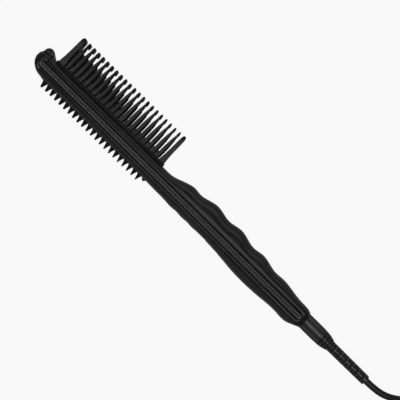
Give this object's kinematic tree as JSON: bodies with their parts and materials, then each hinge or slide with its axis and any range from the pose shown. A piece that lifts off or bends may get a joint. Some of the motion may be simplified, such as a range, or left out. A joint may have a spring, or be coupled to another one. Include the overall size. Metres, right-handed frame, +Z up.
{
  "type": "hair straightening brush",
  "caption": "Corded hot comb brush on a finger-grooved handle: hooked guard teeth over heated fins, short spikes on the back, press buttons and a swivelling cord exit.",
  "frame": {"origin": "on the surface that the brush lies on, under the middle of the box around the brush from its nose to the end of its strain relief; the cord beyond that is left out", "axes": "+X from the nose to the cord along the brush, +Y from the back spikes to the long teeth, +Z up out of the side that the picture shows, away from the surface"},
  "size_m": [0.6283, 0.0558, 0.027],
  "materials": {
    "shell_black": "satin moulded",
    "trim_black": "satin moulded",
    "comb_black": "satin moulded",
    "coated_aluminium": "black non-stick coating",
    "ceramic": "fired ceramic",
    "sheet_film": "film",
    "spring_steel": "pressed",
    "fuse_metal": "plain",
    "sensor_epoxy": "potted",
    "board_green": "solder mask",
    "component_black": "moulded",
    "led_lens": "moulded lens",
    "panel_black": "gloss",
    "window_clear": "clear",
    "button_black": "satin moulded",
    "screw_steel": "blackened",
    "lead_rubber": "silicone sleeve",
    "carbon": "pressed carbon",
    "ring_brass": "turned",
    "bush_white": "low-friction plastic",
    "sleeve_black": "satin moulded",
    "relief_black": "moulded",
    "cord_black": "extruded jacket",
    "tie_black": "moulded",
    "plug_black": "moulded",
    "blade_brass": "plated"
  },
  "bodies": {
    "root": {"front_shell": "shell_black", "back_shell": "shell_black", "nose_cap": "shell_black", "side_trim_near": "trim_black", "side_trim_far": "trim_black", "guard_comb": "comb_black", "back_comb": "comb_black", "heated_comb": "coated_aluminium", "heater_pads": "ceramic", "insulation_sheet": "sheet_film", "clamp_spring": "spring_steel", "thermal_fuse": "fuse_metal", "temperature_sensor": "sensor_epoxy", "control_board": "board_green", "board_parts": "component_black", "tact_switches": "component_black", "status_leds": "led_lens", "panel_plate": "panel_black", "indicator_window": "window_clear", "case_screws": "screw_steel", "heater_leads": "lead_rubber", "supply_leads": "lead_rubber", "contact_holder": "component_black", "carbon_contacts": "carbon", "swivel_bush": "bush_white", "cord": "cord_black", "cord_hank": "cord_black", "cord_tail": "cord_black", "hank_tie": "tie_black", "plug_body": "plug_black", "plug_blades": "blade_brass"},
    "power_button": {"power_button": "button_black"},
    "hotter_button": {"hotter_button": "button_black"},
    "cooler_button": {"cooler_button": "button_black"},
    "swivel": {"contact_rings": "ring_brass", "swivel_sleeve": "sleeve_black", "strain_relief": "relief_black"}
  },
  "joints": [
    {"name": "power_button_press", "type": "slide", "parent": "root", "child": "power_button", "axis": [0, 1, 0], "range_m": [0, 0.0007], "stiffness_N_per_m": 420},
    {"name": "hotter_button_press", "type": "slide", "parent": "root", "child": "hotter_button", "axis": [0, 1, 0], "range_m": [0, 0.0007], "stiffness_N_per_m": 420},
    {"name": "cooler_button_press", "type": "slide", "parent": "root", "child": "cooler_button", "axis": [0, 1, 0], "range_m": [0, 0.0007], "stiffness_N_per_m": 420},
    {"name": "cord_swivel", "type": "hinge", "parent": "root", "child": "swivel", "pos_m": [0.10773, -0.0109, 0.0135], "axis": [1, 0, 0], "continuous": true}
  ]
}
